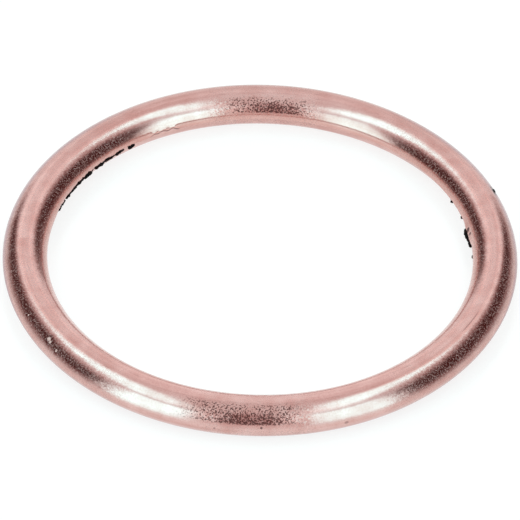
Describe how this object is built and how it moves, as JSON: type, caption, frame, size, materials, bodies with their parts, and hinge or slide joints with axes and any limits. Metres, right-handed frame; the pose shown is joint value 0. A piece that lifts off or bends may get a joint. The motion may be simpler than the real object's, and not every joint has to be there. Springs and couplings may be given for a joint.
{
  "type": "copper crush washer",
  "caption": "Hollow ring rolled from copper sheet, with a lap seam at its bore, that crushes between two faces to seal a pipe joint.",
  "frame": {"origin": "on the ring's axis, at the height of the lower seat", "axes": "+Z along the ring's axis, from the lower seat to the upper seat; X and Y are free because the ring is round"},
  "size_m": [0.046, 0.046, 0.0035],
  "materials": {
    "copper": "satin rolled sheet, bare"
  },
  "bodies": {
    "root": {"crush_ring": "copper"}
  },
  "joints": []
}
